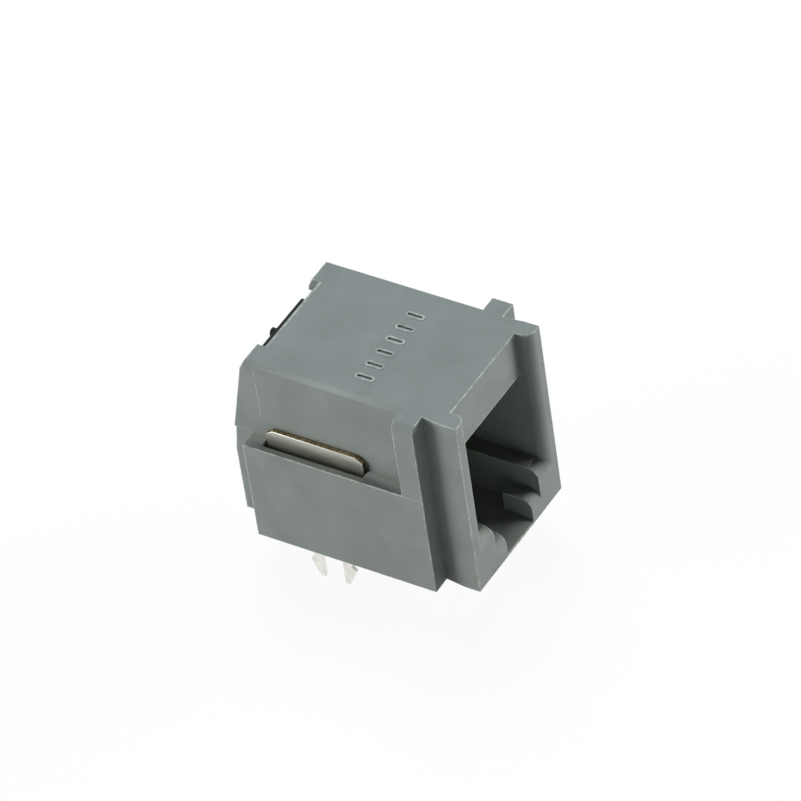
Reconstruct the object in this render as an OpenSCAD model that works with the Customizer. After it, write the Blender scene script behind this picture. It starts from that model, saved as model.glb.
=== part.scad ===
// Modular jack: a right-angle board socket for a four-wire handset plug, latch side down.
// Millimetres. Z is up from the board, the plug goes in along +Y, and X runs across the mouth.
// The origin is on the board's face, midway between the two board locks.
// Depths are measured from the front rim, and each finished piece is then moved to the origin.

/* [Plug opening] */
// Width of the plug opening
plug_w = 7.8; // [7:0.05:9.6]
// Height of the plug opening above its side shelves
plug_h = 6.86; // [6.2:0.02:8]
// Depth of the plug cavity behind the front rim
plug_d = 11.3; // [10:0.1:14]
// Width of the latch channel below the plug
latch_w = 5.54; // [4.6:0.02:6.4]
// Height of the latch channel above the catch
latch_h = 1.61; // [1.2:0.01:2.2]
// Width of the slot between the two latch catches
catch_w = 3.24; // [2.6:0.02:4.2]
// Height of the latch catches above the floor
catch_h = 1.44; // [1:0.01:2]
// Depth of the latch catches
catch_d = 2.1; // [1.4:0.1:3]
// Thickness of the floor below the latch
floor_t = 0.39; // [0.3:0.01:0.8]
// Thickness of the floor at its front edge
floor_lip = 0.12; // [0.05:0.01:0.25]
// Depth of the curve that leads in over the floor
ramp_d = 1.2; // [0.6:0.1:1.4]
// Radius of the rounded front ends of the shelves and catches
lead_round = 0.8; // [0.2:0.05:1]
// Radius of the bullnose on the two mouth edges
mouth_round = 0.7; // [0.1:0.05:0.9]
// Setback of the header from the front rim
header_set = 1.07; // [0.6:0.01:1.6]
// Thickness of the header
header_t = 1.05; // [0.7:0.05:1.4]

/* [Housing] */
// Wall of the body beside the plug
side_wall = 1.16; // [0.9:0.02:1.8]
// Wall of the front rim beside the plug
rim_wall = 1.22; // [0.9:0.02:1.8]
// Narrowing of each rim side towards the panel stop
rim_taper = 0.16; // [0:0.02:0.3]
// Reach of the rim in front of the panel stop
rim_d = 2.5; // [1.8:0.05:4]
// Thickness of the panel stop
stop_t = 1.5; // [1:0.05:2.5]
// Radius of the panel stop's left top corner
stop_round = 0.5; // [0.1:0.05:0.9]
// Height of the roof above the plug opening
roof_h = 3.4; // [3.2:0.05:4.5]
// Thickness of the top wall
top_wall = 1; // [0.7:0.05:1.4]
// Radius of the body's left top edge
top_round = 0.35; // [0.1:0.05:0.6]
// Height of the side ledges
ledge_h = 7.65; // [6.8:0.05:9]
// Height of the mould's parting plane on the rear walls above the ledges
part_up = 0.15; // [0.05:0.05:0.3]
// Step-in of the rear walls below the parting plane
rear_step = 0.2; // [0.05:0.01:0.4]
// Gap between the rear walls and the board
rear_foot = 0.56; // [0.3:0.02:1.2]
// Height of the upright part of the rear
rear_low_h = 5.6; // [4.5:0.1:6.4]
// Set-in of the leaning rear at the parting plane
rear_mid_set = 0.3; // [0.1:0.02:0.4]
// Set-in of the leaning rear at the top
rear_top_set = 1.8; // [1.2:0.05:2]
// Depth of the slope on the rear top shoulder
shoulder_d = 0.3; // [0.1:0.05:0.8]
// Height of the slope on the rear top shoulder
shoulder_h = 0.6; // [0.3:0.05:1.2]
// Cut-back of the top wall between the side walls
notch = 0.6; // [0.3:0.05:1.2]
// Undercut of the two ears that are left beside the cut-back
ear_under = 0.45; // [0.2:0.05:0.6]

/* [Contacts] */
// Diameter of the contact wire
wire_d = 0.46; // [0.4:0.01:0.55]
// Distance between neighbouring contacts
pitch = 1.02; // [0.9:0.01:1.2]
// Reach of the solder tails below the board's face
tail_l = 3; // [2.4:0.1:3.6]
// Length of the taper at each tail's tip
tail_tip = 0.35; // [0.2:0.05:0.6]
// Distance between the two rows of tails
row_gap = 2.54; // [1.8:0.02:3.2]
// Distance of the front row behind the plug cavity
row_front = 1.23; // [1.1:0.01:1.8]
// Distance of the rear row from the rear face
row_rear = 2.08; // [1.7:0.01:3]
// Centre-line radius of the bend above each tail
rear_bend = 0.8; // [0.5:0.05:1.1]
// Slope of the free springs, in degrees
spring_lean = 22; // [16:1:26]
// Gap between the header and the contact noses
nose_front = 0.3; // [0.15:0.05:0.5]
// Gap between the insert's arm and the springs at their noses
nose_gap = 0.2; // [0.1:0.05:0.4]

/* [Contact insert] */
// Width of the step that stops the plug on each side
stop_w = 0.65; // [0.4:0.05:0.8]
// Plastic above the wires in the arm
wire_above = 0.5; // [0.3:0.05:0.7]
// Plastic below the wires in the arm
wire_below = 0.55; // [0.4:0.05:0.8]
// Plastic beside the outer wires in the arm
wire_beside = 0.7; // [0.4:0.01:0.8]
// Set-in of the insert from the rear walls
insert_set = 0.02; // [0:0.01:0.3]
// Gap between the insert and the board
insert_foot = 0.3; // [0.1:0.05:0.6]
// Reach of the insert's side rails into the housing
rail_w = 0.45; // [0.2:0.05:0.7]
// Height of the side rails
rail_h = 0.9; // [0.5:0.05:1.4]
// Height of the side rails above the board
rail_z = 4.2; // [2:0.1:5]
// Distance of the rails' front ends behind the plug cavity
rail_set = 0.8; // [0.4:0.1:1.5]
// Reach of the spring tips into the insert's rear comb
comb_in = 0.35; // [0.1:0.05:0.4]
// Room around the spring tips in the comb
comb_gap = 0.35; // [0.2:0.05:0.4]
// Diameter of the gate nub on the insert's rear
gate_d = 0.6; // [0.3:0.05:0.9]
// Distance of the gate nub from the middle
gate_x = 0.67; // [0:0.05:1.5]
// Reach of the gate nub behind the insert
gate_out = 0.25; // [0.1:0.05:0.4]

/* [Board locks] */
// Length of a lock's head
lock_l = 7; // [5:0.05:9]
// Thickness of the lock sheet
lock_t = 0.32; // [0.2:0.02:0.4]
// Height of the head above the ledge
lock_stand = 1.1; // [0.8:0.05:2]
// Length of the chamfer on the head's top corners
lock_cut_l = 0.5; // [0.2:0.05:1]
// Height of the chamfer on the head's top corners
lock_cut_h = 0.35; // [0.2:0.05:0.8]
// Width of the pocket between the body and the ledge's lip
pocket_w = 0.74; // [0.6:0.01:1.2]
// Depth of the pocket below the ledge
pocket_d = 3.4; // [2:0.1:5]
// Thickness of the ledge's outer lip
lip_t = 0.44; // [0.3:0.01:0.8]
// Length of solid ledge in front of the pocket
land_front = 3.07; // [2:0.01:4]
// Length of solid ledge behind the pocket
land_rear = 1.16; // [0.8:0.01:2]
// Room at each end of the head in its pocket
lock_play = 0.16; // [0.1:0.02:0.5]
// Depth of the relief under the housing round each lock's slot
relief_h = 0.25; // [0.15:0.05:0.3]
// Room round the barbs in the relief
relief_play = 0.3; // [0.2:0.05:0.4]
// Width of the stem that goes down to the board
stem_w = 2.7; // [2.2:0.05:3.2]
// Gap between the two tines
tine_gap = 1.5; // [0.8:0.05:1.6]
// Reach of the slit between the tines above the board's face
slit_up = 0.7; // [0.3:0.05:1.5]
// Width across the barbs
barb_w = 3.3; // [3.25:0.05:4]
// Depth of the barbs below the board's face
barb_z = 1.6; // [1:0.05:1.8]
// Height of the hook above each barb
hook_h = 0.35; // [0.2:0.05:0.6]
// Reach of the tines below the board's face
tine_l = 2.85; // [2.4:0.05:3.4]
// Width of a tine's tip
tip_w = 0.3; // [0.15:0.05:0.4]

/* [Fits] */
// Clearance between the housing and what slides into it
fit = 0.05; // [0.02:0.01:0.08]
// Clearance round the wires in the insert
wire_fit = 0.02; // [0.01:0.01:0.04]
// Clearance beside the wires in both combs
wire_gap = 0.07; // [0.04:0.01:0.1]

/* [Hidden] */
$fn = 48;
// Overrun that lets a cut pass clean through a face
cut = 1;

// Widths
plug_half = plug_w / 2;
latch_half = latch_w / 2;
catch_half = catch_w / 2;
body_half = plug_half + side_wall;
rim_half = plug_half + rim_wall;
rim_root_half = rim_half - rim_taper;
ledge_half = body_half + pocket_w + lip_t;
rear_half = body_half - rear_step;
pocket_half = plug_half - stop_w;
insert_half = pocket_half - fit;
contact_count = 4;
contact_x = [for (i = [0 : contact_count - 1]) (i - (contact_count - 1) / 2) * pitch];
arm_half = contact_x[contact_count - 1] + wire_d / 2 + wire_beside;
rib_t = pitch - wire_d - 2 * wire_gap;
lock_x = body_half + fit;

// Heights
catch_z = floor_t + catch_h;
shelf_z = catch_z + latch_h;
ceiling_z = shelf_z + plug_h;
body_h = ceiling_z + roof_h;
roof_z = body_h - top_wall;
arm_top = roof_z - fit;
wire_z = arm_top - wire_above - wire_d / 2;
arm_under = wire_z - wire_d / 2 - wire_below;
parting_z = ledge_h + part_up;
lock_seat_z = ledge_h - pocket_d;
lock_top_z = ledge_h + lock_stand;

// Depths
stop_rear = rim_d + stop_t;
pocket_l = lock_l + 2 * lock_play;
lock_front = stop_rear + land_front;
lock_mid = lock_front + pocket_l / 2;
ledge_rear = lock_front + pocket_l + land_rear;
row_d = [plug_d + row_front, plug_d + row_front + row_gap];
depth = row_d[1] + row_rear;
top_rear = depth - rear_top_set;
header_back = header_set + header_t;
// Rear walls: height and depth of each corner, from the board up
rear_line = [[rear_foot, depth],
             [rear_low_h, depth],
             [parting_z, depth - rear_mid_set],
             [body_h - shoulder_h, top_rear + shoulder_d],
             [body_h, top_rear]];

// Contact wire
nose_bend = (wire_d + wire_below + nose_gap) / 2;
nose_mid = header_back + nose_front + wire_d / 2 + nose_bend;
arm_front = nose_mid + nose_gap / 2;
spring_d = nose_mid - nose_bend * sin(spring_lean);
spring_z = wire_z - nose_bend * (1 + cos(spring_lean));
spring_run = plug_d + comb_in - spring_d;
spring_l = spring_run / cos(spring_lean);
spring_tip_z = spring_z - spring_run * tan(spring_lean);

// Rounds are held within the walls that they are cut from
mouth_r = min(mouth_round, rim_wall - 2 * fit);
shelf_r = min(lead_round, latch_h - fit);
catch_r = min(lead_round, catch_h - fit, catch_d - fit);
// The floor's lead-in drops from the floor to its front edge
floor_drop = floor_t - floor_lip;
floor_r = (pow(ramp_d, 2) + pow(floor_drop, 2)) / (2 * floor_drop);

function rear_at(z) = lookup(z, rear_line);

// Moves a piece from front-rim depths to the origin between the board locks
module place() translate([0, -lock_mid, 0]) children();

// Runs an outline of width and height from depth d0 back to depth d1
module through(d0, d1) translate([0, d1, 0]) rotate([90, 0, 0]) linear_extrude(d1 - d0) children();

// Spreads an outline of depth and height over the width from x0 to x1
module across(x0, x1) translate([x0, 0, 0]) rotate([90, 0, 90]) linear_extrude(x1 - x0) children();

// Stands an outline of width and depth from height z0 up to z1
module upright(z0, z1) translate([0, 0, z0]) linear_extrude(z1 - z0) children();

// Box between two corners, [x, depth, z]
module block(low, high) translate(low) cube(high - low);

// Repeats a piece on both sides of the middle plane
module both_sides() for (side = [0, 1]) mirror([side, 0, 0]) children();

// Outline centred on the middle plane, from the board up, with its left top corner rounded
module round_top(half, top, r) difference() {
    translate([-half, 0]) square([2 * half, top]);
    translate([-half, top]) mirror([0, 1]) corner_round(r);
}

// What rounding takes off a corner at the origin of a solid that fills +x, +y
module corner_round(r) difference() {
    translate([-cut, -cut]) square(r + cut);
    translate([r, r]) circle(r);
    translate([r, -2 * cut]) square(2 * cut + r);
    translate([-2 * cut, r]) square(2 * cut + r);
}

// Front rim in plan, narrowing towards the panel stop
module rim_plan() polygon([[-rim_half, 0], [rim_half, 0], [rim_half, header_set],
                           [rim_root_half, rim_d], [rim_root_half, stop_rear],
                           [-rim_root_half, stop_rear], [-rim_root_half, rim_d],
                           [-rim_half, header_set]]);

// Side walls above the parting plane, in depth and height
module upper_side() polygon(concat([[rim_d, body_h], [rim_d, ledge_h],
                                    [ledge_rear, ledge_h], [ledge_rear, parting_z]],
                                   [for (p = rear_line) if (p[0] >= parting_z) [p[1], p[0]]]));

// Rear walls below the parting plane, in depth and height
module lower_side() polygon(concat([[lock_mid, parting_z], [lock_mid, rear_foot]],
                                   [for (p = rear_line) if (p[0] <= parting_z) [p[1], p[0]]]));

// Housing without its openings
module housing_block() {
    upright(0, body_h) rim_plan();
    through(rim_d, stop_rear) round_top(ledge_half, body_h, stop_round);
    block([-ledge_half, rim_d, 0], [ledge_half, ledge_rear, ledge_h]);
    across(-rear_half, rear_half) lower_side();
    intersection() {
        across(-body_half, body_half) upper_side();
        through(rim_d, depth) round_top(body_half, body_h, top_round);
    }
}

// Plug opening: the plug's own cavity, the latch channel, the catches and the floor ramp
module plug_opening() {
    block([-plug_half, -cut, shelf_z], [plug_half, plug_d, ceiling_z]);
    block([-plug_half, -cut, shelf_z], [plug_half, header_set, body_h + cut]);
    block([-latch_half, -cut, catch_z], [latch_half, plug_d, ceiling_z]);
    block([-catch_half, -cut, floor_t], [catch_half, plug_d, ceiling_z]);
    block([-latch_half, catch_d, floor_t], [latch_half, plug_d, ceiling_z]);
    across(-catch_half, catch_half) difference() {
        translate([-cut, floor_lip]) square([cut + ramp_d, catch_h]);
        translate([ramp_d, floor_t - floor_r]) circle(floor_r);
    }
    both_sides() {
        translate([plug_half, 0, 0]) upright(shelf_z, body_h + cut) corner_round(mouth_r);
        across(catch_half, latch_half) front_round(catch_z, catch_r);
        across(latch_half, plug_half) front_round(shelf_z, shelf_r);
        intersection() {
            across(latch_half, plug_half + mouth_r) front_round(shelf_z, shelf_r);
            translate([plug_half, 0, 0]) upright(shelf_z - shelf_r, body_h) corner_round(mouth_r);
        }
    }
}

// What rounding takes off the front end of a step of height z, in depth and height
module front_round(z, r) translate([0, z]) mirror([0, 1]) corner_round(r);

// Space that the contact insert slides into from the rear, with the undercut of the ears above it
module insert_space() {
    block([-arm_half - fit, header_back, ceiling_z - cut], [arm_half + fit, depth, roof_z]);
    block([-pocket_half, plug_d, -cut], [pocket_half, depth + cut, roof_z]);
    block([-pocket_half, top_rear - notch, roof_z - cut], [pocket_half, depth + cut, body_h + cut]);
    both_sides() {
        block([0, plug_d + rail_set - fit, rail_z - fit],
              [pocket_half + rail_w, depth + cut, rail_z + rail_h + fit]);
        block([0, top_rear - notch, arm_under], [pocket_half + ear_under, depth + cut, roof_z]);
    }
}

// Pocket, stem slot and underside relief of one board lock
module lock_pocket() {
    block([body_half, lock_front, lock_seat_z], [body_half + pocket_w, lock_front + pocket_l, ledge_h + cut]);
    block([body_half, lock_mid - stem_w / 2 - fit, -cut],
          [lock_x + lock_t + fit, lock_mid + stem_w / 2 + fit, ledge_h]);
    block([lock_x - relief_play, lock_mid - barb_w / 2 - relief_play, -cut],
          [lock_x + lock_t + relief_play, lock_mid + barb_w / 2 + relief_play, relief_h]);
}

// Ribs behind the header that keep the contact noses apart; the outer two join the side walls
module front_comb() {
    rib_front = header_set + header_t / 2;
    rib_rear = arm_front - fit;
    rib_top = roof_z + top_wall / 2;
    for (i = [1 : contact_count - 1]) translate([(i - contact_count / 2) * pitch, 0, 0])
        block([-rib_t / 2, rib_front, ceiling_z], [rib_t / 2, rib_rear, rib_top]);
    both_sides() block([contact_count * pitch / 2 - rib_t / 2, rib_front, ceiling_z],
                       [arm_half + 3 * fit, rib_rear, rib_top]);
}

module housing() color("#848b89") place() {
    difference() {
        housing_block();
        plug_opening();
        insert_space();
        both_sides() lock_pocket();
    }
    front_comb();
}

// Arm and head of the insert, in depth and height
module arm_side() polygon([[arm_front, arm_under], [arm_front, arm_top],
                           [rear_at(arm_top) - insert_set, arm_top],
                           [rear_at(arm_under) - insert_set, arm_under]]);

// Rear leg of the insert, in depth and height, leaning with the rear walls
module leg_side() polygon(concat([[plug_d, arm_under], [plug_d, insert_foot]],
                                 [for (z = [insert_foot, rear_low_h, parting_z, arm_under])
                                      [rear_at(z) - insert_set, z]]));

// Slots in the leg's front face that the spring tips move in
module rear_comb() for (x = contact_x)
    translate([x, 0, 0]) block([-wire_d / 2 - wire_gap, plug_d - cut, spring_tip_z - wire_d - comb_gap],
                               [wire_d / 2 + wire_gap, plug_d + comb_in + comb_gap, arm_under]);

module contact_insert() color("#1d1e20") place() {
    difference() {
        union() {
            across(-arm_half, arm_half) arm_side();
            across(-insert_half, insert_half) leg_side();
            across(-insert_half - rail_w, insert_half + rail_w)
                polygon([[plug_d + rail_set, rail_z], [rear_at(rail_z) - insert_set, rail_z],
                         [rear_at(rail_z + rail_h) - insert_set, rail_z + rail_h],
                         [plug_d + rail_set, rail_z + rail_h]]);
        }
        rear_comb();
        for (i = [0 : contact_count - 1]) translate([contact_x[i], 0, 0])
            contact_root(row_d[i % 2], wire_d + 2 * wire_fit);
    }
    gate_nub();
}

// Stub that is left where the insert's mould was filled
module gate_nub() {
    gate_z = arm_top - fit - gate_d / 2;
    translate([-gate_x, top_rear, gate_z]) rotate([-90, 0, 0])
        cylinder(d = gate_d, h = rear_at(gate_z) - insert_set + gate_out - top_rear);
}

// Tail, rear bend and straight run of a contact, up to the start of its nose
module contact_root(row, d) {
    bend_z = wire_z - rear_bend;
    straight_l = bend_z + tail_l - tail_tip;
    translate([0, row, bend_z]) rotate([180, 0, 0]) {
        cylinder(d = d, h = straight_l);
        translate([0, 0, straight_l]) cylinder(d1 = d, d2 = d / 2, h = tail_tip);
    }
    translate([0, row - rear_bend, bend_z]) rotate([90, 0, 90])
        rotate_extrude(angle = 90) translate([rear_bend, 0]) circle(d = d);
    translate([0, row - rear_bend, wire_z]) rotate([90, 0, 0])
        cylinder(d = d, h = row - rear_bend - nose_mid);
}

// Nose and free spring of a contact, drawn in a frame turned to where the spring begins
module contact_spring(d) translate([0, nose_mid, wire_z - nose_bend]) rotate([90, 0, 90])
    rotate([0, 0, 270 - spring_lean]) {
        rotate_extrude(angle = spring_lean - 180) translate([nose_bend, 0]) circle(d = d);
        translate([nose_bend, 0, 0]) rotate([-90, 0, 0]) cylinder(d = d, h = spring_l);
    }

// One contact wire, counted from the left; every second one ends in the rear row
module contact(i) color("#c9a24a") place() translate([contact_x[i], 0, 0]) {
    contact_root(row_d[i % 2], wire_d);
    contact_spring(wire_d);
}

// Half of a lock's outline, in distance from its middle and height: head, stem, barb and tine
lock_half_line = [[lock_l / 2 - lock_cut_l, lock_top_z], [lock_l / 2, lock_top_z - lock_cut_h],
                  [lock_l / 2, lock_seat_z], [stem_w / 2, lock_seat_z],
                  [stem_w / 2, hook_h - barb_z], [barb_w / 2, -barb_z],
                  [tine_gap / 2 + tip_w, -tine_l], [tine_gap / 2, -tine_l], [tine_gap / 2, slit_up]];

module lock_outline() polygon(concat(lock_half_line,
    [for (i = [len(lock_half_line) - 1 : -1 : 0]) [-lock_half_line[i][0], lock_half_line[i][1]]]));

// Board lock on the right-hand side
module board_lock() color("#c4c3b9") across(lock_x, lock_x + lock_t) lock_outline();

housing();
contact_insert();
contact(0);  // contact_1
contact(1);  // contact_2
contact(2);  // contact_3
contact(3);  // contact_4
mirror([1, 0, 0]) board_lock();  // board_lock_left
board_lock();  // board_lock_right
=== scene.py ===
"""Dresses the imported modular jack: moulded edges, drawn wires, stamped locks, finishes and a studio."""

import math

import bmesh
import bpy
from bpy.props import FloatProperty, FloatVectorProperty, IntProperty, PointerProperty
from bpy.types import Operator, Panel, PropertyGroup
from mathutils import Euler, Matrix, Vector


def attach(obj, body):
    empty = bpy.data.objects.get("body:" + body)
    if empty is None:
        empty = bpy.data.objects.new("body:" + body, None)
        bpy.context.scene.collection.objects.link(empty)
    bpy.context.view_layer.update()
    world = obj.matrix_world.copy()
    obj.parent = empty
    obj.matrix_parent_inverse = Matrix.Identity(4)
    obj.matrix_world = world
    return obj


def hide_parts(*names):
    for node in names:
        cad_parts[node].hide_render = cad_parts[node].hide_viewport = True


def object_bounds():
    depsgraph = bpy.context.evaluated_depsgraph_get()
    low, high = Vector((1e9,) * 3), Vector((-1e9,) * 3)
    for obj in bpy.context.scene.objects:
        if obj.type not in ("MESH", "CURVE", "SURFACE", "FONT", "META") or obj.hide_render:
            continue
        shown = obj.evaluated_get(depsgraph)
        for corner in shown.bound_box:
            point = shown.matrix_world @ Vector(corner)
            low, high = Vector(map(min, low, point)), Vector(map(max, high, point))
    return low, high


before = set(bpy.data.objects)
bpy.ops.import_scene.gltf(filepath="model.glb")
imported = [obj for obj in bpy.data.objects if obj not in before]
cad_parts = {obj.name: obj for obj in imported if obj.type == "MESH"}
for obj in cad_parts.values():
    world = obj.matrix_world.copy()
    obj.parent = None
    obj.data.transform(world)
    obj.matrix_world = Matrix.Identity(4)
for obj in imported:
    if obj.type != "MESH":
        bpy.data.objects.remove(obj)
CAD_LOW, CAD_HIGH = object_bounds()

bl_info = {
    "name": "Modular jack dressing",
    "version": (1, 0, 0),
    "blender": (4, 5, 0),
    "location": "View3D > Sidebar > Jack",
    "description": "Gives the packed modular jack its moulded edges, finishes and studio",
    "category": "Object",
}

MM = 0.001
# Points nearer than this, in metres, are one point; it is far below the thinnest wall
WELD = 1e-7
# Two faces that meet at more than this make an edge that gets its own round
EDGE_ANGLE = math.radians(30)
# Faces that meet at less than this shade as one surface
SMOOTH_ANGLE = math.radians(40)
# Limited dissolve joins only triangles of one flat face
FLAT_ANGLE = math.radians(0.5)


def linear(code):
    """Turns an sRGB hex colour into Blender's linear red, green and blue."""
    parts = [int(code[i : i + 2], 16) / 255 for i in (0, 2, 4)]
    return [p / 12.92 if p <= 0.04045 else ((p + 0.055) / 1.055) ** 2.4 for p in parts]


def mm_size(label, words, size):
    """A length property whose default is given in millimetres."""
    return FloatProperty(
        name=label, description=words, default=size * MM, min=0, unit="LENGTH", precision=6)


def paint(label, words, code):
    """A colour property whose default is given as an sRGB hex value."""
    return FloatVectorProperty(
        name=label, description=words, default=linear(code), subtype="COLOR", min=0, max=1)


def share(label, words, part):
    """A property for a part of a whole."""
    return FloatProperty(name=label, description=words, default=part, min=0, max=1, subtype="FACTOR")


def watts(label, words, power):
    """A lamp's power property."""
    return FloatProperty(name=label, description=words, default=power, min=0, unit="POWER", precision=4)


class JackSizes(PropertyGroup):
    """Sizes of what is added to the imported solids."""

    # The strips beside each sharp edge are partly edge rub and partly painted highlight
    rub_and_highlight_strip: mm_size("Rub and highlight strip", "Width of the pale strip on each side of a sharp edge", 0.07)
    rim_edge: mm_size("Rim edge", "Round on the edges of the top, the rim and the panel stops", 0.04)
    inner_share: share("Inner share", "Round on the other edges, as a share of the rim's", 0.75)
    # The rear band is a painted highlight standing for the softly rolled-off rear edge of the top
    rear_highlight_band: mm_size("Rear band", "Width of the painted highlight along the rear of the top", 0.16)
    mould_line: mm_size("Mould line", "Width of the flash on the panel stops and side walls", 0.05)
    mark_length: mm_size("Mark length", "Length of each mark on the top, with its rim", 1.35)
    mark_width: mm_size("Mark width", "Width of each mark on the top, with its rim", 0.5)
    mark_rim: mm_size("Mark rim", "Width of the rim round each mark", 0.14)
    mark_height: mm_size("Mark height", "Height of the rim above the top", 0.03)
    mark_depth: mm_size("Mark depth", "Depth of each mark's middle below the top", 0.07)
    mark_step: mm_size("Mark step", "Distance between neighbouring marks", 1.22)
    mark_count: IntProperty(name="Marks", description="Number of marks in the row", default=6, min=1)
    insert_edge: mm_size("Insert edge", "Round on the moulded outer edges of the insert", 0.05)
    wire: mm_size("Wire", "Diameter of the contact wire", 0.46)
    pitch: mm_size("Pitch", "Distance between neighbouring contacts", 1.02)
    wire_end: mm_size("Wire end", "Round on the sheared ends of each wire", 0.05)
    lock_edge: mm_size("Lock edge", "Roll that the stamping leaves round each board lock", 0.025)


class JackColours(PropertyGroup):
    """Colours of the jack's materials."""

    housing_dark: paint("Housing, dark", "Darker cloud in the grey housing plastic", "777d7a")
    housing_light: paint("Housing, light", "Lighter cloud in the grey housing plastic", "808683")
    # The pale edge grey is partly rub and flash and partly painted highlight
    housing_rub_and_highlight: paint("Housing, edge", "Edge rub and painted highlight on the grey housing plastic", "b4b8b3")
    insert_dark: paint("Insert, dark", "Darker cloud in the black insert plastic", "08080a")
    insert_light: paint("Insert, light", "Lighter cloud in the black insert plastic", "121315")
    gold: paint("Gold", "Gold plating on the contact springs", "e3bf6c")
    tin: paint("Tin", "Bright tin on the board locks and the solder tails", "edeee6")
    tin_dull: paint("Tin, dull", "Duller patches and duller heads of the board locks", "c8c8bf")
    bronze: paint("Bronze", "Bare bronze on the stamped edges", "ad9b78")
    bronze_dark: paint("Bronze, dark", "Tarnish on the stamped edges", "635539")
    floor: paint("Floor", "Pale studio floor", "f4f4f2")


class JackStage(PropertyGroup):
    """Camera and lamps."""

    camera_place: FloatVectorProperty(
        name="Camera place", description="Where the camera stands", subtype="TRANSLATION", unit="LENGTH",
        default=(-255.627 * MM, -193.153 * MM, 294.999 * MM))
    camera_turn: FloatVectorProperty(
        name="Camera turn", description="How the camera is turned", subtype="EULER", unit="ROTATION",
        default=(math.radians(47.7303), math.radians(6.6581), math.radians(-59.393)))
    lens: FloatProperty(
        name="Lens", description="Focal length on a 36 mm sensor", default=310.85, min=1, unit="CAMERA")
    overhead: watts("Overhead", "Power of the softbox over the right rear corner", 3.4)
    left_rear: watts("Left rear", "Power of the low softbox to the left and behind", 4.3)
    right_front: watts("Right front", "Power of the low softbox to the right and in front", 4.7)
    room: FloatProperty(name="Room", description="Strength of the dim room light", default=0.01, min=0)


def only(piece):
    """Selects one object and nothing else."""
    bpy.ops.object.select_all(action="DESELECT")
    piece.select_set(True)
    bpy.context.view_layer.objects.active = piece


def solid_copy(node, name):
    """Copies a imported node, merged and with its flat faces whole, and leaves it in edit mode."""
    piece = bpy.data.objects.new(name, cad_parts[node].data.copy())
    bpy.context.scene.collection.objects.link(piece)
    piece.data.materials.clear()
    only(piece)
    bpy.ops.object.mode_set(mode="EDIT")
    bpy.ops.mesh.select_all(action="SELECT")
    bpy.ops.mesh.remove_doubles(threshold=WELD)
    bpy.ops.mesh.dissolve_limited(angle_limit=FLAT_ANGLE)
    return piece


def pick(piece, kind, wanted):
    """Selects, in edit mode, just the edges or faces that wanted() takes."""
    bpy.ops.mesh.select_mode(type=kind)
    bpy.ops.mesh.select_all(action="DESELECT")
    mesh = bmesh.from_edit_mesh(piece.data)
    for part in {"EDGE": mesh.edges, "FACE": mesh.faces}[kind]:
        if wanted(part):
            part.select_set(True)
    mesh.select_flush_mode()
    bmesh.update_edit_mesh(piece.data)


def is_outer(edge):
    """True for an edge where two faces meet at a sharp outward corner."""
    return edge.is_manifold and edge.calc_face_angle_signed() > EDGE_ANGLE


def middle_mm(edge):
    """Middle of an edge, in millimetres."""
    return (edge.verts[0].co + edge.verts[1].co) / (2 * MM)


def round_edges(size, segments=3, material=-1):
    """Rounds the selected edges, in the material beside them unless a slot is given."""
    bpy.ops.mesh.bevel(offset=size, offset_type="OFFSET", segments=segments, profile=0.5,
                       affect="EDGES", clamp_overlap=False, material=material)


def apply(piece, kind, **settings):
    """Adds a modifier to a piece and applies it."""
    only(piece)
    bpy.ops.object.modifier_add(type=kind)
    modifier = piece.modifiers[-1]
    for name, value in settings.items():
        setattr(modifier, name, value)
    bpy.ops.object.modifier_apply(modifier=modifier.name)


def finish_shading(piece):
    """Smooths the rounds and keeps the flats flat."""
    bpy.ops.object.mode_set(mode="OBJECT")
    only(piece)
    bpy.ops.object.shade_smooth_by_angle(angle=SMOOTH_ANGLE)
    apply(piece, "WEIGHTED_NORMAL", keep_sharp=True, weight=100)


def stand_for(piece, node):
    """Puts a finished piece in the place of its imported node."""
    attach(piece, "root")
    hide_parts(node)


def per_mm(size):
    """Texture scale that makes a pattern's features about this many millimetres wide."""
    return 1 / (size * MM)


def add_node(tree, kind, inputs=None, **settings):
    """Adds a node; an input given as an output socket is linked, and anything else is its value."""
    node = tree.nodes.new(kind)
    for name, value in settings.items():
        setattr(node, name, value)
    for key, value in (inputs or {}).items():
        if isinstance(value, bpy.types.NodeSocket):
            tree.links.new(value, node.inputs[key])
        else:
            node.inputs[key].default_value = value
    return node


def blank(name):
    """A new material with an empty node tree."""
    material = bpy.data.materials.new(name)
    material.use_nodes = True
    material.node_tree.nodes.clear()
    return material, material.node_tree


def opaque(colour):
    """A colour property as red, green, blue and alpha."""
    return [*colour, 1]


# Sockets of the Mix node when it mixes colours
COLOUR_A, COLOUR_B, COLOUR_OUT = 6, 7, 2
# Nearly all of a noise pattern lies between these values
NOISE_SPAN = {"From Min": 0.3, "From Max": 0.7}
# Board locks: dull from the upper of these heights up, and not below the lower, in millimetres
DULL_HEIGHTS = (1, 7)
# Wires: the tin ends in a soft line inside the insert, between these heights, in millimetres
TIN_LINE = (1, 1.6)
# How much of the floor is plain white to the eye, so that the rest still shows a soft shadow
FLOOR_WHITE = 0.93
WHITE = (1, 1, 1, 1)


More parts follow.
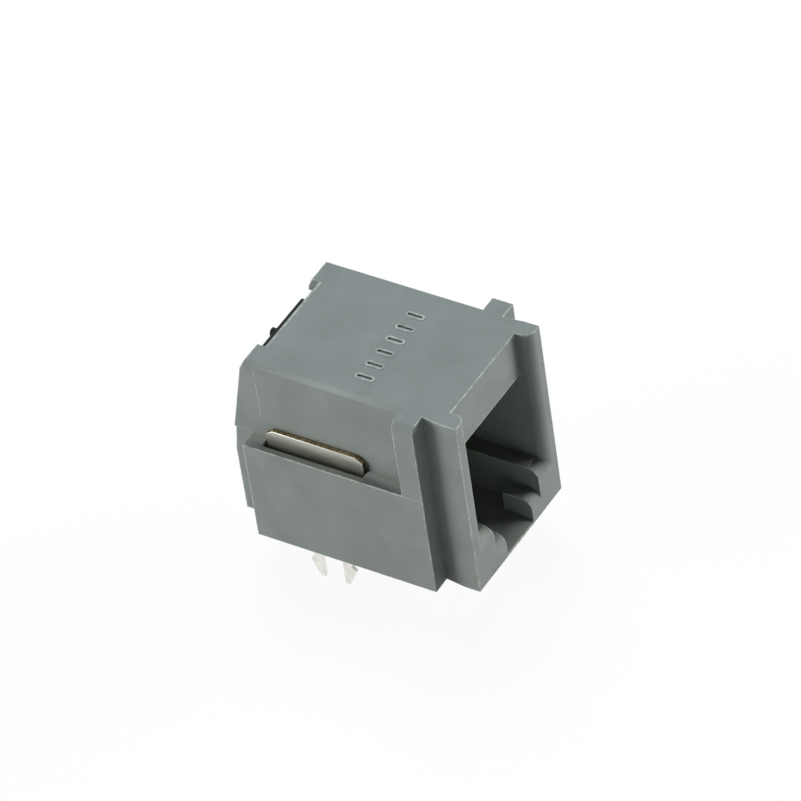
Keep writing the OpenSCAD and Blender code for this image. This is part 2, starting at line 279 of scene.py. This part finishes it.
def moulded_grey(name, dark, light, cloud_mm):
    """Grey polyester from a spark-eroded mould: nearly matt, with faint clouds and a dull grain."""
    material, tree = blank(name)
    place = add_node(tree, "ShaderNodeTexCoord").outputs["Object"]
    cloud = add_node(tree, "ShaderNodeTexNoise",
                     {"Vector": place, "Scale": per_mm(cloud_mm), "Detail": 3,
                      "Roughness": 0.55}).outputs["Fac"]
    # The grain is really near 0.03 mm and is drawn four times coarser so that it shows
    grain = add_node(tree, "ShaderNodeTexNoise",
                     {"Vector": place, "Scale": per_mm(0.12), "Detail": 2,
                      "Roughness": 0.6}).outputs["Fac"]
    tone = add_node(tree, "ShaderNodeMapRange", {"Value": cloud, **NOISE_SPAN}).outputs["Result"]
    colour = add_node(tree, "ShaderNodeMix",
                      {0: tone, COLOUR_A: opaque(dark), COLOUR_B: opaque(light)},
                      data_type="RGBA").outputs[COLOUR_OUT]
    dull = add_node(tree, "ShaderNodeMapRange",
                    {"Value": grain, **NOISE_SPAN, "To Min": 0.46, "To Max": 0.58}).outputs["Result"]
    sink = add_node(tree, "ShaderNodeBump",
                    {"Height": cloud, "Strength": 0.12, "Distance": 0.05 * MM}).outputs["Normal"]
    skin = add_node(tree, "ShaderNodeBump",
                    {"Height": grain, "Strength": 0.25, "Distance": 0.012 * MM,
                     "Normal": sink}).outputs["Normal"]
    shader = add_node(tree, "ShaderNodeBsdfPrincipled",
                      {"Base Color": colour, "Roughness": dull, "IOR": 1.55,
                       "Specular IOR Level": 0.1, "Normal": skin}).outputs["BSDF"]
    add_node(tree, "ShaderNodeOutputMaterial", {"Surface": shader})
    return material


def moulded_black(colours):
    """Black polyester, moulded: a dark satin, with faint flow clouds drawn out along its height."""
    material, tree = blank("Black polyester, moulded satin")
    place = add_node(tree, "ShaderNodeTexCoord").outputs["Object"]
    drawn = add_node(tree, "ShaderNodeMapping",
                     {"Vector": place, "Scale": (1, 1, 0.35)}).outputs["Vector"]
    cloud = add_node(tree, "ShaderNodeTexNoise",
                     {"Vector": drawn, "Scale": per_mm(1.2), "Detail": 4,
                      "Roughness": 0.6}).outputs["Fac"]
    # Like the housing's, the grain is drawn coarser than it is so that it shows
    grain = add_node(tree, "ShaderNodeTexNoise",
                     {"Vector": place, "Scale": per_mm(0.1), "Detail": 2,
                      "Roughness": 0.6}).outputs["Fac"]
    colour = add_node(tree, "ShaderNodeMix",
                      {0: cloud, COLOUR_A: opaque(colours.insert_dark),
                       COLOUR_B: opaque(colours.insert_light)},
                      data_type="RGBA").outputs[COLOUR_OUT]
    dull = add_node(tree, "ShaderNodeMapRange",
                    {"Value": cloud, **NOISE_SPAN, "To Min": 0.5, "To Max": 0.62}).outputs["Result"]
    skin = add_node(tree, "ShaderNodeBump",
                    {"Height": grain, "Strength": 0.25, "Distance": 0.012 * MM}).outputs["Normal"]
    shader = add_node(tree, "ShaderNodeBsdfPrincipled",
                      {"Base Color": colour, "Roughness": dull, "IOR": 1.55,
                       "Specular IOR Level": 0.1, "Normal": skin}).outputs["BSDF"]
    add_node(tree, "ShaderNodeOutputMaterial", {"Surface": shader})
    return material


def rolled_tin(colours):
    """Bright tin over rolled bronze strip: pale and mirror-like, with fine lines along the strip."""
    material, tree = blank("Tinned bronze strip, rolled")
    place = add_node(tree, "ShaderNodeTexCoord").outputs["Object"]
    # Rolling lines run along the strip, which is the jack's depth. They are about 0.05 mm apart
    # and are drawn nearly twice as coarse so that they show
    rolled = add_node(tree, "ShaderNodeMapping",
                      {"Vector": place, "Scale": (1, 0.04, 1)}).outputs["Vector"]
    lines = add_node(tree, "ShaderNodeTexNoise",
                     {"Vector": rolled, "Scale": per_mm(0.09), "Detail": 3,
                      "Roughness": 0.6}).outputs["Fac"]
    patch = add_node(tree, "ShaderNodeTexNoise",
                     {"Vector": place, "Scale": per_mm(0.7), "Detail": 4,
                      "Roughness": 0.6}).outputs["Fac"]
    patchy = add_node(tree, "ShaderNodeMapRange",
                      {"Value": patch, "From Min": 0.4, "From Max": 0.7,
                       "To Max": 0.5}).outputs["Result"]
    # The tin grows duller from the tines up to the heads
    height = add_node(tree, "ShaderNodeSeparateXYZ", {"Vector": place}).outputs["Z"]
    dull_upwards = add_node(tree, "ShaderNodeMapRange",
                       {"Value": height, "From Min": DULL_HEIGHTS[0] * MM,
                        "From Max": DULL_HEIGHTS[1] * MM}).outputs["Result"]
    dull = add_node(tree, "ShaderNodeMath", {0: patchy, 1: dull_upwards},
                    operation="MAXIMUM").outputs["Value"]
    colour = add_node(tree, "ShaderNodeMix",
                      {0: dull, COLOUR_A: opaque(colours.tin), COLOUR_B: opaque(colours.tin_dull)},
                      data_type="RGBA").outputs[COLOUR_OUT]
    gloss = add_node(tree, "ShaderNodeMapRange",
                     {"Value": lines, **NOISE_SPAN, "To Min": 0.2, "To Max": 0.3}).outputs["Result"]
    # Up the heads this adds up to a tenth to the roughness
    rough = add_node(tree, "ShaderNodeMath", {0: dull_upwards, 1: 0.1, 2: gloss},
                     operation="MULTIPLY_ADD").outputs["Value"]
    skin = add_node(tree, "ShaderNodeBump",
                    {"Height": lines, "Strength": 0.12, "Distance": 0.004 * MM}).outputs["Normal"]
    shader = add_node(tree, "ShaderNodeBsdfPrincipled",
                      {"Base Color": colour, "Metallic": 1, "Roughness": rough,
                       "Normal": skin}).outputs["BSDF"]
    add_node(tree, "ShaderNodeOutputMaterial", {"Surface": shader})
    return material


def sheared_bronze(colours):
    """Bare bronze where the strip was sheared: brown, dull and scored across the edge."""
    material, tree = blank("Phosphor bronze, sheared edge")
    place = add_node(tree, "ShaderNodeTexCoord").outputs["Object"]
    # The shear scores the edge across the sheet, about every 0.08 mm, and it is drawn twice as
    # coarse so that it shows
    scored = add_node(tree, "ShaderNodeMapping",
                      {"Vector": place, "Scale": (0.1, 1, 1)}).outputs["Vector"]
    score = add_node(tree, "ShaderNodeTexNoise",
                     {"Vector": scored, "Scale": per_mm(0.16), "Detail": 3,
                      "Roughness": 0.6}).outputs["Fac"]
    tarnish = add_node(tree, "ShaderNodeMapRange",
                       {"Value": score, "From Min": 0.35, "From Max": 0.65}).outputs["Result"]
    colour = add_node(tree, "ShaderNodeMix",
                      {0: tarnish, COLOUR_A: opaque(colours.bronze),
                       COLOUR_B: opaque(colours.bronze_dark)},
                      data_type="RGBA").outputs[COLOUR_OUT]
    skin = add_node(tree, "ShaderNodeBump",
                    {"Height": score, "Strength": 0.4, "Distance": 0.01 * MM}).outputs["Normal"]
    shader = add_node(tree, "ShaderNodeBsdfPrincipled",
                      {"Base Color": colour, "Metallic": 1, "Roughness": 0.5,
                       "Normal": skin}).outputs["BSDF"]
    add_node(tree, "ShaderNodeOutputMaterial", {"Surface": shader})
    return material


def plated_wire(colours):
    """Drawn bronze wire: smooth gold on the spring, and tin near the board for soldering."""
    material, tree = blank("Plated bronze wire, drawn")
    place = add_node(tree, "ShaderNodeTexCoord").outputs["Object"]
    height = add_node(tree, "ShaderNodeSeparateXYZ", {"Vector": place}).outputs["Z"]
    gilded = add_node(tree, "ShaderNodeMapRange",
                      {"Value": height, "From Min": TIN_LINE[0] * MM,
                       "From Max": TIN_LINE[1] * MM}).outputs["Result"]
    # Lines from the drawing die are near 0.02 mm apart and are drawn coarser so that they show
    drawn = add_node(tree, "ShaderNodeMapping",
                     {"Vector": place, "Scale": (1, 0.12, 0.12)}).outputs["Vector"]
    lines = add_node(tree, "ShaderNodeTexNoise",
                     {"Vector": drawn, "Scale": per_mm(0.07), "Detail": 3,
                      "Roughness": 0.6}).outputs["Fac"]
    colour = add_node(tree, "ShaderNodeMix",
                      {0: gilded, COLOUR_A: opaque(colours.tin), COLOUR_B: opaque(colours.gold)},
                      data_type="RGBA").outputs[COLOUR_OUT]
    rough = add_node(tree, "ShaderNodeMapRange",
                     {"Value": lines, **NOISE_SPAN, "To Min": 0.32, "To Max": 0.42}).outputs["Result"]
    skin = add_node(tree, "ShaderNodeBump",
                    {"Height": lines, "Strength": 0.05, "Distance": 0.003 * MM}).outputs["Normal"]
    shader = add_node(tree, "ShaderNodeBsdfPrincipled",
                      {"Base Color": colour, "Metallic": 1, "Roughness": rough,
                       "Normal": skin}).outputs["BSDF"]
    add_node(tree, "ShaderNodeOutputMaterial", {"Surface": shader})
    return material


def background_rays(tree):
    """One where a ray comes from the camera, straight or by gloss or glass, and zero elsewhere."""
    path = add_node(tree, "ShaderNodeLightPath").outputs
    shine = add_node(tree, "ShaderNodeMath", {0: path["Is Glossy Ray"], 1: path["Is Transmission Ray"]},
                     operation="MAXIMUM").outputs["Value"]
    return add_node(tree, "ShaderNodeMath", {0: path["Is Camera Ray"], 1: shine},
                    operation="MAXIMUM").outputs["Value"]


def studio_floor(colours):
    """Pale matt card: white to the eye, with only the jack's soft shadow left on it."""
    material, tree = blank("Studio card, matt")
    card = add_node(tree, "ShaderNodeBsdfDiffuse", {"Color": opaque(colours.floor)}).outputs["BSDF"]
    white = add_node(tree, "ShaderNodeEmission", {"Color": WHITE, "Strength": 1}).outputs["Emission"]
    seen = add_node(tree, "ShaderNodeMath", {0: background_rays(tree), 1: FLOOR_WHITE},
                    operation="MULTIPLY").outputs["Value"]
    shader = add_node(tree, "ShaderNodeMixShader", {0: seen, 1: card, 2: white}).outputs["Shader"]
    add_node(tree, "ShaderNodeOutputMaterial", {"Surface": shader})
    return material


# Slots of the housing's two greys: matt, and a pale grey that is partly edge rub and flash and partly
# painted highlight
MATT_GREY, RUB_AND_HIGHLIGHT_GREY = 0, 1
# Width of the clouds in each grey, in millimetres
MATT_CLOUD = 2.6
RUB_AND_HIGHLIGHT_CLOUD = 0.4
# Housing, in millimetres: the faces that its edges lie on, and how near counts as on one
STOP_HALF = 6.24
BODY_HALF = 5.06
HOUSING_TOP = 13.7
STOP_REAR = -6.73
STOP_FLAT = 5.8
TOP_REAR = 4.02
NOTCH_HALF = 3.25
NEAR = 0.1
# Box round the ribs behind the header that keep the contact noses apart, in millimetres
RIB_HALF = 2.8
RIB_FRONT, RIB_REAR = -9.4, -7.2
RIB_LOW = 10.2
# Seams that the bevels leave: their width, in metres, and the most sides of a hole in one
SEAM_WIDTH = 10 * WELD
SEAM_SIDES = 5
# Middle of the row of marks on the top, in millimetres
MARK_MIDDLE = (-0.2, -3.15)
# Round on the marks' ends: just under half their width, so that the ends don't close up, and its steps
MARK_ROUND = 0.49
MARK_STEPS = 6
# Panel stops, in millimetres: middle and thickness along the depth, and the mould's parting height
STOP_MIDDLE = -7.48
STOP_THICK = 1.4
PARTING_Z = 7.65
# Line that the mould's core leaves on the side walls: its depth and the heights of its ends
CORE_DEPTH = 3.9
CORE_LINE = (9, 13.3)
# Part of a strip's thickness that stands out of the housing
PROUD = 0.1


class JACK_OT_housing(Operator):
    """Makes the moulded housing, with pale edges of rub and painted highlight, mould lines and a row of
    rimmed marks
    """

    bl_idname = "modular_jack.housing"
    bl_label = "Housing"

    def execute(self, context):
        sizes, colours = context.scene.jack_sizes, context.scene.jack_colours
        housing = solid_copy("housing", "housing_moulding")
        bpy.ops.object.mode_set(mode="OBJECT")
        # Edges are a second, paler grey: they rub bright and carry a trace of flash, and the paler grey
        # also paints their highlights
        for name, dark, light, cloud_mm in (
            ("Grey polyester, moulded matt", colours.housing_dark, colours.housing_light, MATT_CLOUD),
            ("Grey polyester, rubbed edge", colours.housing_light, colours.housing_rub_and_highlight, RUB_AND_HIGHLIGHT_CLOUD),
        ):
            housing.data.materials.append(moulded_grey(name, dark, light, cloud_mm))
        # A square bevel keeps the shape and only parts off the strips beside each edge
        self.bevel(housing, ((1, self.on_rim), (1, self.inside)),
                   width=sizes.rub_and_highlight_strip, segments=2, profile=1, material=RUB_AND_HIGHLIGHT_GREY)
        self.bevel(housing, ((1, self.on_rim), (sizes.inner_share, self.inside)),
                   width=sizes.rim_edge, segments=3)
        self.add_marks(housing, sizes)
        self.close_seams(housing)
        self.add_mould_lines(housing, sizes)
        finish_shading(housing)
        stand_for(housing, "housing")
        return {"FINISHED"}

    @staticmethod
    def bevel(housing, groups, **settings):
        """Bevels the sharp edges of some groups, each by its own share of the width."""
        only(housing)
        bpy.ops.object.mode_set(mode="EDIT")
        bpy.ops.mesh.select_all(action="SELECT")
        bpy.ops.transform.edge_bevelweight(value=-1)
        for part, wanted in groups:
            pick(housing, "EDGE", lambda e: is_outer(e) and wanted(middle_mm(e)))
            bpy.ops.transform.edge_bevelweight(value=part)
        bpy.ops.object.mode_set(mode="OBJECT")
        apply(housing, "BEVEL", limit_method="WEIGHT", use_clamp_overlap=False, **settings)

    @staticmethod
    def close_seams(housing):
        """Welds and fills the hair-thin seams left where two bevelled edges run out in one line."""
        only(housing)
        bpy.ops.object.mode_set(mode="EDIT")
        bpy.ops.mesh.select_all(action="SELECT")
        bpy.ops.mesh.remove_doubles(threshold=SEAM_WIDTH)
        bpy.ops.mesh.fill_holes(sides=SEAM_SIDES)
        bpy.ops.object.mode_set(mode="OBJECT")

    @staticmethod
    def on_top(at):
        """Edges of the top."""
        return at.z > HOUSING_TOP - NEAR

    @classmethod
    def stays(cls, at):
        """Edges left sharp: the ribs, the left stop's thin rear top and the rear edge of the top."""
        rib = abs(at.x) < RIB_HALF and RIB_FRONT < at.y < RIB_REAR and at.z > RIB_LOW
        cusp = cls.on_top(at) and abs(at.y - STOP_REAR) < NEAR and -STOP_FLAT < at.x < 0
        rear = cls.on_top(at) and abs(at.y - TOP_REAR) < NEAR / 10 and abs(at.x) < NOTCH_HALF - NEAR
        return rib or cusp or rear

    @classmethod
    def on_rim(cls, at):
        """Edges round the top, the front rim and the panel stops."""
        outside = abs(at.x) > BODY_HALF - NEAR and at.z > 2 * NEAR
        return (cls.on_top(at) or outside) and not cls.stays(at)

    @classmethod
    def inside(cls, at):
        """All the rest."""
        return not (cls.on_rim(at) or cls.stays(at))

    @classmethod
    def add_marks(cls, housing, sizes):
        """Puts a row of plain rimmed bars on the top, across the jack, and sinks their middles."""
        top = HOUSING_TOP * MM
        rim = sizes.mark_width, sizes.mark_length, -sizes.mark_depth, sizes.mark_height
        # The cutter for the middle reaches well above the rim
        core = (sizes.mark_width - 2 * sizes.mark_rim, sizes.mark_length - 2 * sizes.mark_rim,
                -sizes.mark_depth, 2 * sizes.mark_depth)
        # The rims take the pale grey, a painted highlight round each mark; the sunk middles stay matt and
        # darken only by real shade
        bars = (rim, RUB_AND_HIGHLIGHT_GREY, "UNION"), (core, MATT_GREY, "DIFFERENCE")
        for i in range(sizes.mark_count):
            across = MARK_MIDDLE[0] * MM + (i - (sizes.mark_count - 1) / 2) * sizes.mark_step
            for (width, length, low, high), grey, operation in bars:
                bar = cls.add_block(housing, (width, length, high - low), grey)
                pick(bar, "EDGE", lambda e: abs(e.verts[0].co.z - e.verts[1].co.z) > WELD)
                round_edges(width * MARK_ROUND, MARK_STEPS)
                bpy.ops.mesh.select_all(action="SELECT")
                place = (across, MARK_MIDDLE[1] * MM, top + (low + high) / 2)
                bpy.ops.transform.translate(value=place)
                cls.use_up(housing, bar, operation)

    @staticmethod
    def add_block(housing, size, grey):
        """Adds a block in one of the housing's greys, left in edit mode."""
        bpy.ops.object.select_all(action="DESELECT")
        bpy.ops.mesh.primitive_cube_add(size=1, location=(0, 0, 0))
        block = bpy.context.object
        for material in housing.data.materials:
            block.data.materials.append(material)
        bpy.ops.object.mode_set(mode="EDIT")
        bpy.ops.transform.resize(value=size)
        block.active_material_index = grey
        bpy.ops.object.material_slot_assign()
        return block

    @staticmethod
    def use_up(housing, block, operation):
        """Joins a block to the housing, or cuts the housing with it, and takes it away."""
        bpy.ops.object.mode_set(mode="OBJECT")
        apply(housing, "BOOLEAN", operation=operation, solver="EXACT", object=block)
        bpy.data.objects.remove(block)

    @classmethod
    def lay_strip(cls, housing, size, place):
        """Joins a thin pale strip to the housing, without cutting the face that it lies in."""
        strip = cls.add_block(housing, size, RUB_AND_HIGHLIGHT_GREY)
        bpy.ops.transform.translate(value=place)
        bpy.ops.object.mode_set(mode="OBJECT")
        only(housing)
        strip.select_set(True)
        bpy.ops.object.join()

    @classmethod
    def add_mould_lines(cls, housing, sizes):
        """Lays flash on the panel stops and the side walls in the pale edge grey, partly flash and partly
        painted highlight, and a pale band along the top's rear that paints the highlight of its softly
        rolled-off edge.
        """
        line, band = sizes.mould_line, sizes.rear_highlight_band
        low, high = CORE_LINE
        sunk = (0.5 - PROUD) * line
        on_stop = (line, STOP_THICK * MM, line), (STOP_HALF * MM, STOP_MIDDLE * MM, PARTING_Z * MM)
        on_wall = ((line, line, (high - low) * MM),
                   (BODY_HALF * MM, CORE_DEPTH * MM, (low + high) / 2 * MM))
        for size, (x, y, z) in (on_stop, on_wall):
            for side in (-1, 1):
                cls.lay_strip(housing, size, (side * (x - sunk), y, z))
        # The pale band along the rear of the top paints the highlight of its softly rolled-off edge
        cls.lay_strip(housing, (2 * NOTCH_HALF * MM, band, line),
                      (0, TOP_REAR * MM - band / 2 + PROUD * line, HOUSING_TOP * MM - sunk))


# Box round the stub of the moulding gate on the insert's rear, in millimetres
GATE_X = -0.67
GATE_HALF = 0.4
GATE_FRONT = 4.87
GATE_LOW = 12
# Edges shorter than this, in millimetres, go round the wire holes
SHORT_EDGE = 0.1


class JACK_OT_insert(Operator):
    """Makes the black contact insert that slides in from the rear"""

    bl_idname = "modular_jack.insert"
    bl_label = "Contact insert"

    def execute(self, context):
        insert = solid_copy("contact_insert", "contact_insert_moulding")
        pick(insert, "EDGE", lambda e: is_outer(e) and not self.stays_sharp(e))
        round_edges(context.scene.jack_sizes.insert_edge)
        finish_shading(insert)
        insert.data.materials.append(moulded_black(context.scene.jack_colours))
        stand_for(insert, "contact_insert")
        return {"FINISHED"}

    @staticmethod
    def stays_sharp(edge):
        """The wire holes and the stub of the moulding gate keep their sharp rims."""
        at = middle_mm(edge)
        gate = at.z > GATE_LOW and at.y > GATE_FRONT and abs(at.x - GATE_X) < GATE_HALF
        return gate or edge.calc_length() < SHORT_EDGE * MM


# Contact wires, in millimetres: heights and depths of the bends, and where the tails stand
CONTACTS = 4
TAIL_LOW = -3
TAIL_TIP = 0.35
ROW_DEPTHS = (1.8, 4.34)
WIRE_Z = 11.92
REAR_BEND = 0.8
NOSE_DEPTH = -7.475
NOSE_BEND = 0.605
SPRING_LENGTH = 9.2987
SPRING_LEAN = math.radians(22)
# A wire is this many times as thick as the tip of its tail
TAIL_TAPER = 2
# Sides of a wire, and steps of its two bends
WIRE_SIDES = 28
REAR_STEPS = 10
NOSE_STEPS = 16


class JACK_OT_contacts(Operator):
    """Draws the four sprung contact wires from their solder tails to their free tips"""

    bl_idname = "modular_jack.contacts"
    bl_label = "Contact wires"

    def execute(self, context):
        sizes = context.scene.jack_sizes
        material = plated_wire(context.scene.jack_colours)
        drawn = [self.draw_wire(depth, sizes) for depth in ROW_DEPTHS]
        for i in range(CONTACTS):
            # Neighbours stand in different rows
            mesh = drawn[i % len(drawn)].data.copy()
            wire = bpy.data.objects.new(f"contact_wire_{i + 1}", mesh)
            bpy.context.scene.collection.objects.link(wire)
            only(wire)
            bpy.ops.object.mode_set(mode="EDIT")
            bpy.ops.mesh.select_all(action="SELECT")
            bpy.ops.transform.translate(value=((i - (CONTACTS - 1) / 2) * sizes.pitch, 0, 0))
            finish_shading(wire)
            wire.data.materials.append(material)
            stand_for(wire, f"contact_{i + 1}")
        for wire in drawn:
            bpy.data.objects.remove(wire)
        return {"FINISHED"}

    @staticmethod
    def draw_on(along, up):
        """Draws the wire's end straight on by a step, in millimetres."""
        step = (0, along * MM, up * MM)
        bpy.ops.mesh.extrude_region_move(TRANSFORM_OT_translate={"value": step})

    @staticmethod
    def bend_on(steps, angle, along, up):
        """Sweeps the wire's end forwards round a bend whose middle is given in millimetres."""
        # The operator turns the other way from the right-hand rule
        bpy.ops.mesh.spin(steps=steps, angle=-angle, axis=(1, 0, 0), center=(0, along * MM, up * MM))

    @classmethod
    def draw_wire(cls, depth, sizes):
        """Sweeps a ring up the tail, round the rear bend, along the arm, round the nose and back."""
        bend_z = WIRE_Z - REAR_BEND
        tip_radius = sizes.wire / 2 / TAIL_TAPER
        bpy.ops.object.select_all(action="DESELECT")
        bpy.ops.mesh.primitive_circle_add(vertices=WIRE_SIDES, radius=tip_radius, location=(0, 0, 0))
        wire = bpy.context.object
        bpy.ops.object.mode_set(mode="EDIT")
        bpy.ops.transform.translate(value=(0, depth * MM, TAIL_LOW * MM))
        cls.draw_on(0, TAIL_TIP)
        shoulder = (0, depth * MM, (TAIL_LOW + TAIL_TIP) * MM)
        bpy.ops.transform.resize(value=(TAIL_TAPER, TAIL_TAPER, 1), center_override=shoulder)
        cls.draw_on(0, bend_z - TAIL_LOW - TAIL_TIP)
        cls.bend_on(REAR_STEPS, math.radians(90), depth - REAR_BEND, bend_z)
        cls.draw_on(NOSE_DEPTH - depth + REAR_BEND, 0)
        cls.bend_on(NOSE_STEPS, math.pi - SPRING_LEAN, NOSE_DEPTH, WIRE_Z - NOSE_BEND)
        cls.draw_on(SPRING_LENGTH * math.cos(SPRING_LEAN), -SPRING_LENGTH * math.sin(SPRING_LEAN))
        bpy.ops.mesh.select_all(action="SELECT")
        bpy.ops.mesh.remove_doubles(threshold=WELD)
        bpy.ops.mesh.fill_holes(sides=0)
        bpy.ops.mesh.normals_make_consistent(inside=False)
        pick(wire, "EDGE", is_outer)
        round_edges(sizes.wire_end, segments=2)
        bpy.ops.object.mode_set(mode="OBJECT")
        return wire


# Slots of the board locks' tin and of their bare bronze
TINNED, BARE = 0, 1
# Sheared edges above this height, in millimetres, are left bare
LOCK_HEAD = 5
# A face whose normal leans further to the side than this is one of the sheet's rolled faces
SIDEWAYS = 0.5


class JACK_OT_locks(Operator):
    """Makes the two stamped board locks, tinned on their faces and bare on their sheared edges"""

    bl_idname = "modular_jack.locks"
    bl_label = "Board locks"

    def execute(self, context):
        colours = context.scene.jack_colours
        tin, bronze = rolled_tin(colours), sheared_bronze(colours)
        for side in ("left", "right"):
            lock = solid_copy(f"board_lock_{side}", f"board_lock_{side}_stamping")
            lock.data.materials.append(tin)
            lock.data.materials.append(bronze)
            pick(lock, "FACE", self.is_bare)
            lock.active_material_index = BARE
            bpy.ops.object.material_slot_assign()
            pick(lock, "EDGE", lambda e: is_outer(e) and any(self.is_rolled(f) for f in e.link_faces))
            round_edges(context.scene.jack_sizes.lock_edge, material=TINNED)
            finish_shading(lock)
            stand_for(lock, f"board_lock_{side}")
        return {"FINISHED"}

    @staticmethod
    def is_rolled(face):
        """True for the two rolled faces of the sheet, which look to the sides."""
        return abs(face.normal.x) > SIDEWAYS

    @classmethod
    def is_bare(cls, face):
        """True for the sheared edges of the head."""
        return not cls.is_rolled(face) and face.calc_center_median().z > LOCK_HEAD * MM


# Softboxes, in metres: distance from the middle of the jack, and width
SOFTBOX_REACH = 0.6
SOFTBOX_SIZE = 0.32
# Width of the floor and nearest that the camera sees, in metres, and its sensor, in millimetres
FLOOR_SIZE = 3
CAMERA_NEAR = 0.01
SENSOR_WIDTH = 36


class JACK_OT_stage(Operator):
    """Sets the floor, the room, the softboxes and the camera"""

    bl_idname = "modular_jack.stage"
    bl_label = "Stage"

    def execute(self, context):
        stage = context.scene.jack_stage
        self.lay_floor(context.scene.jack_colours)
        self.paint_room(context.scene, stage.room)
        middle = (CAD_LOW + CAD_HIGH) / 2
        # Degrees round from the front, by way of the right, and degrees up
        for name, turn, rise, tint in (
            ("overhead", 130, 62, "ecf8ff"),
            ("left_rear", 225, 8, "fffdf9"),
            ("right_front", 45, 8, "fffdf9"),
        ):
            direction = Vector((0, -1, 0))
            direction.rotate(Euler((-math.radians(rise), 0, math.radians(turn))))
            bpy.ops.object.light_add(type="AREA", location=middle + direction * SOFTBOX_REACH)
            softbox = bpy.context.object
            softbox.name = f"softbox_{name}"
            softbox.rotation_euler = direction.to_track_quat("Z", "Y").to_euler()
            softbox.data.size = SOFTBOX_SIZE
            softbox.data.energy = getattr(stage, name)
            softbox.data.color = linear(tint)
        bpy.ops.object.camera_add(location=stage.camera_place, rotation=stage.camera_turn)
        camera = bpy.context.object
        camera.data.sensor_width = SENSOR_WIDTH
        camera.data.lens = stage.lens
        camera.data.clip_start = CAMERA_NEAR
        context.scene.camera = camera
        context.scene.view_settings.view_transform = "Standard"
        return {"FINISHED"}

    @staticmethod
    def lay_floor(colours):
        """A wide card that just touches the lowest points of the jack."""
        bpy.ops.object.select_all(action="DESELECT")
        bpy.ops.mesh.primitive_plane_add(size=FLOOR_SIZE, location=(0, 0, CAD_LOW.z))
        floor = bpy.context.object
        floor.name = "studio_floor"
        floor.data.materials.append(studio_floor(colours))

    @staticmethod
    def paint_room(scene, strength):
        """A dim room that looks white to the camera and in reflections."""
        room = bpy.data.worlds.new("Studio room")
        scene.world = room
        room.use_nodes = True
        tree = room.node_tree
        tree.nodes.clear()
        dim = add_node(tree, "ShaderNodeBackground",
                       {"Color": WHITE, "Strength": strength}).outputs["Background"]
        white = add_node(tree, "ShaderNodeBackground",
                         {"Color": WHITE, "Strength": 1}).outputs["Background"]
        mixed = add_node(tree, "ShaderNodeMixShader",
                         {0: background_rays(tree), 1: dim, 2: white}).outputs["Shader"]
        add_node(tree, "ShaderNodeOutputWorld", {"Surface": mixed})


STEPS = (JACK_OT_housing, JACK_OT_insert, JACK_OT_contacts, JACK_OT_locks, JACK_OT_stage)


class JACK_PT_sidebar(Panel):
    """Lists the steps that dress the jack"""

    bl_idname = "JACK_PT_sidebar"
    bl_label = "Modular jack"
    bl_space_type = "VIEW_3D"
    bl_region_type = "UI"
    bl_category = "Jack"

    def draw(self, context):
        for step in STEPS:
            self.layout.operator(step.bl_idname)
        for group in (context.scene.jack_sizes, context.scene.jack_colours, context.scene.jack_stage):
            box = self.layout.box()
            for name in group.__annotations__:
                box.prop(group, name)


CLASSES = (JackSizes, JackColours, JackStage, *STEPS, JACK_PT_sidebar)


def register():
    """Makes the properties, steps and panel known to Blender."""
    for cls in CLASSES:
        bpy.utils.register_class(cls)
    bpy.types.Scene.jack_sizes = PointerProperty(type=JackSizes)
    bpy.types.Scene.jack_colours = PointerProperty(type=JackColours)
    bpy.types.Scene.jack_stage = PointerProperty(type=JackStage)


def unregister():
    """Takes the panel, steps and properties away again."""
    del bpy.types.Scene.jack_stage
    del bpy.types.Scene.jack_colours
    del bpy.types.Scene.jack_sizes
    for cls in reversed(CLASSES):
        bpy.utils.unregister_class(cls)


def main():
    """Dresses the jack step by step."""
    register()
    bpy.ops.modular_jack.housing()
    bpy.ops.modular_jack.insert()
    bpy.ops.modular_jack.contacts()
    bpy.ops.modular_jack.locks()
    bpy.ops.modular_jack.stage()


if __name__ == "__main__":
    main()
